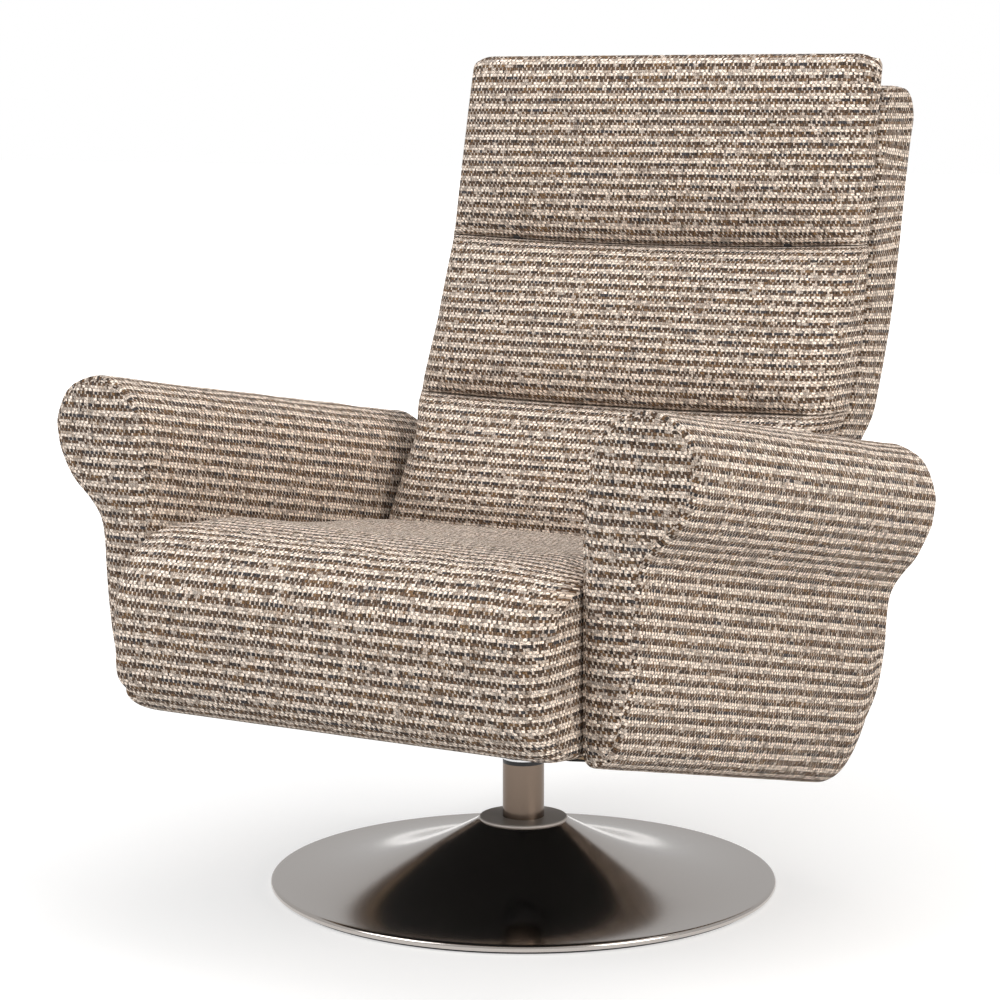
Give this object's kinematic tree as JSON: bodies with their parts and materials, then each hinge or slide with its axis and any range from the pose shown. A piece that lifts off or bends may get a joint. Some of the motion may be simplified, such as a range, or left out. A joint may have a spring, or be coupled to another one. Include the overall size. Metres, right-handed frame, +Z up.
{
  "type": "swivel recliner",
  "caption": "Upholstered swivel recliner with rolled arms, a pillowed reclining back, a tilting headrest and a column on a round trumpet foot.",
  "frame": {"origin": "middle of the foot on the floor", "axes": "+Z up, -Y the way the sitter faces, +X the sitter's left"},
  "size_m": [0.838, 0.9294, 0.988],
  "materials": {
    "fabric": "woven houndstooth tweed",
    "brushed_nickel": "brushed nickel plate",
    "steel": "zinc plated",
    "cast_iron": "black paint",
    "black_steel": "satin powder coat",
    "black_plastic": "moulded nylon",
    "webbing": "elastic webbing",
    "wood": "beech plywood",
    "felt": "pressed felt"
  },
  "bodies": {
    "base": {"floor_felt": "felt", "ballast_plate": "cast_iron", "foot_cover": "brushed_nickel", "hub_ring": "brushed_nickel", "column_tube": "brushed_nickel", "column_bolts": "steel", "lower_bush": "black_plastic", "upper_bush": "black_plastic", "thrust_ring": "steel"},
    "seat": {"swivel_spindle": "black_steel", "spindle_clip": "steel", "swivel_plate": "black_steel", "swivel_bolts": "steel", "front_bar": "black_steel", "rear_bar": "black_steel", "left_side_rail": "wood", "right_side_rail": "wood", "front_rail": "wood", "rear_rail": "wood", "seat_webbing": "webbing", "seat_cushion": "fabric", "underside_cover": "black_plastic", "rear_panel": "fabric", "left_arm_board": "wood", "right_arm_board": "wood", "left_arm": "fabric", "right_arm": "fabric", "arm_bolts": "steel", "left_hinge_bracket": "steel", "right_hinge_bracket": "steel", "bracket_screws": "steel", "left_pivot_pin": "steel", "right_pivot_pin": "steel", "gas_spring_bracket": "black_steel", "gas_spring_pin": "steel", "gas_spring_cylinder": "black_steel"},
    "backrest": {"left_hinge_arm": "steel", "right_hinge_arm": "steel", "left_pivot_bush": "black_plastic", "right_pivot_bush": "black_plastic", "cross_tube": "steel", "recline_lever": "steel", "lever_pin": "steel", "back_board": "wood", "board_screws": "steel", "lumbar_cushion": "fabric", "middle_cushion": "fabric", "back_shell": "fabric", "left_ratchet_base": "steel", "right_ratchet_base": "steel", "left_ratchet_pin": "steel", "right_ratchet_pin": "steel"},
    "headrest": {"head_cushion": "fabric", "head_board": "wood", "left_ratchet_arm": "steel", "right_ratchet_arm": "steel"},
    "gas_rod": {"gas_spring_rod": "steel", "rod_fork": "steel"}
  },
  "joints": [
    {"name": "swivel", "type": "hinge", "parent": "base", "child": "seat", "pos_m": [0, 0, 0.156], "axis": [0, 0, 1], "continuous": true},
    {"name": "recline", "type": "hinge", "parent": "seat", "child": "backrest", "pos_m": [0, 0.172, 0.33], "axis": [-1, 0, 0], "range_deg": [0, 30]},
    {"name": "headrest_tilt", "type": "hinge", "parent": "backrest", "child": "headrest", "pos_m": [0, 0.31, 0.764], "axis": [1, 0, 0], "range_deg": [0, 30]},
    {"name": "gas_spring_stroke", "type": "slide", "parent": "seat", "child": "gas_rod", "axis": [0, -1, 0], "range_m": [0, 0.0312]}
  ],
  "couplings": [
    {"joint": "gas_spring_stroke", "follows": "recline", "m_per_rad": 0.059317}
  ]
}
